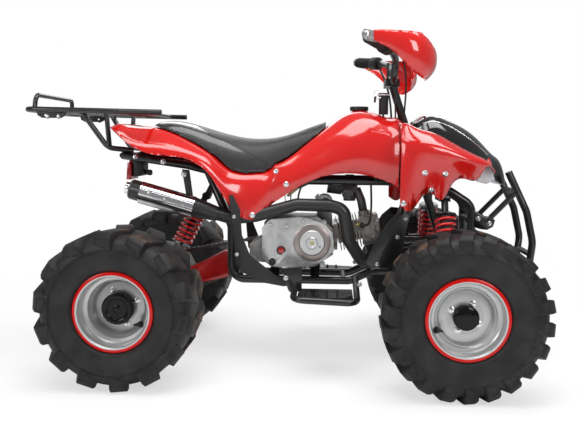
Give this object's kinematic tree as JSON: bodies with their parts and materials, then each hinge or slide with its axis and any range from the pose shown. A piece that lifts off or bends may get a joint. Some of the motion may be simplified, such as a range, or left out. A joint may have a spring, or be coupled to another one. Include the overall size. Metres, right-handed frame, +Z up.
{
  "type": "quad bike",
  "caption": "Small sport quad bike with tube frame, red plastic bodywork, rear rack, handlebar guards, lugged tyres, working steering and free-turning wheels.",
  "frame": {"origin": "on the floor under the middle of the overall length and width", "axes": "+X forwards along the bike, +Y to its left, +Z up"},
  "size_m": [1.6039, 0.9486, 1.022],
  "materials": {
    "frame_paint": "gloss black enamel",
    "cast_grey": "rough cast",
    "damper_black": "satin black",
    "spring_red": "gloss red",
    "chain_steel": "oiled steel",
    "axle_steel": "machined steel",
    "hub_black": "gloss black",
    "rim_silver": "silver enamel with a red outer lip",
    "tyre_rubber": "moulded rubber",
    "engine_alloy": "cast alloy",
    "engine_cover": "polished cast alloy",
    "carburettor_alloy": "die cast",
    "exhaust_black": "satin heat-proof black",
    "shield_silver": "brushed",
    "grip_rubber": "ribbed rubber",
    "guard_red": "gloss red",
    "bracket_alloy": "plain alloy",
    "body_red": "high-gloss red",
    "nose_black": "high-gloss black",
    "cap_black": "textured black",
    "seat_vinyl": "glossy black vinyl",
    "lamp_clear": "clear lens",
    "lamp_red": "translucent red",
    "guard_black": "moulded black"
  },
  "bodies": {
    "chassis": {"main_frame": "frame_paint", "swingarm": "frame_paint", "axle_carrier": "cast_grey", "suspension_arms": "frame_paint", "shock_absorbers": "damper_black", "springs": "spring_red", "drive_chain": "chain_steel", "engine": "engine_alloy", "clutch_cover": "engine_cover", "cylinder_head": "engine_alloy", "carburettor": "carburettor_alloy", "exhaust_pipe": "exhaust_black", "muffler": "exhaust_black", "heat_shield": "shield_silver", "rear_rack": "frame_paint", "front_bumper": "frame_paint", "tank_cover": "body_red", "fuel_cap": "cap_black", "key_switch": "cap_black", "front_fender": "body_red", "rear_fender": "body_red", "nose_panel": "nose_black", "seat": "seat_vinyl", "headlamps": "lamp_clear", "tail_lamp": "lamp_red", "footrests": "frame_paint", "heel_guards": "guard_black", "splash_guards": "guard_black"},
    "steering": {"steering_stem": "frame_paint", "handlebar": "frame_paint", "bar_controls": "grip_rubber", "handguards": "guard_red", "guard_brackets": "bracket_alloy"},
    "tie_rod_right": {"tie_rod_right": "axle_steel"},
    "tie_rod_left": {"tie_rod_left": "axle_steel"},
    "knuckle_right": {"knuckle_right": "axle_steel"},
    "knuckle_left": {"knuckle_left": "axle_steel"},
    "front_wheel_right": {"front_tyre_right": "tyre_rubber", "front_rim_right": "rim_silver", "front_hub_right": "hub_black"},
    "front_wheel_left": {"front_tyre_left": "tyre_rubber", "front_rim_left": "rim_silver", "front_hub_left": "hub_black"},
    "rear_wheels": {"rear_axle": "axle_steel", "rear_rims": "rim_silver", "rear_tyres": "tyre_rubber", "sprocket_and_disc": "chain_steel"}
  },
  "joints": [
    {"name": "steering_turn", "type": "hinge", "parent": "chassis", "child": "steering", "pos_m": [0.51789, 0, 0.38395], "axis": [-0.319, 0, 0.9477], "range_deg": [-35, 35]},
    {"name": "knuckle_right_turn", "type": "hinge", "parent": "chassis", "child": "knuckle_right", "pos_m": [0.5245, -0.32, 0.2335], "axis": [0, 0, 1], "range_deg": [-31, 31]},
    {"name": "knuckle_left_turn", "type": "hinge", "parent": "chassis", "child": "knuckle_left", "pos_m": [0.5245, 0.32, 0.2335], "axis": [0, 0, 1], "range_deg": [-31, 31]},
    {"name": "tie_rod_right_turn", "type": "hinge", "parent": "steering", "child": "tie_rod_right", "pos_m": [0.4705, -0.014, 0.368], "axis": [-0.319, 0, 0.9477], "range_deg": [-37, 37]},
    {"name": "tie_rod_left_turn", "type": "hinge", "parent": "steering", "child": "tie_rod_left", "pos_m": [0.4705, 0.014, 0.368], "axis": [-0.319, 0, 0.9477], "range_deg": [-37, 37]},
    {"name": "front_wheel_right_spin", "type": "hinge", "parent": "knuckle_right", "child": "front_wheel_right", "pos_m": [0.5245, -0.384, 0.2335], "axis": [0, 1, 0], "continuous": true},
    {"name": "front_wheel_left_spin", "type": "hinge", "parent": "knuckle_left", "child": "front_wheel_left", "pos_m": [0.5245, 0.384, 0.2335], "axis": [0, 1, 0], "continuous": true},
    {"name": "rear_axle_spin", "type": "hinge", "parent": "chassis", "child": "rear_wheels", "pos_m": [-0.4575, 0, 0.229], "axis": [0, 1, 0], "continuous": true}
  ],
  "couplings": [
    {"joint": "knuckle_right_turn", "follows": "steering_turn", "ratio": 0.88},
    {"joint": "knuckle_left_turn", "follows": "steering_turn", "ratio": 0.88},
    {"joint": "tie_rod_right_turn", "follows": "steering_turn", "ratio": -1.05},
    {"joint": "tie_rod_left_turn", "follows": "steering_turn", "ratio": -1.05}
  ]
}
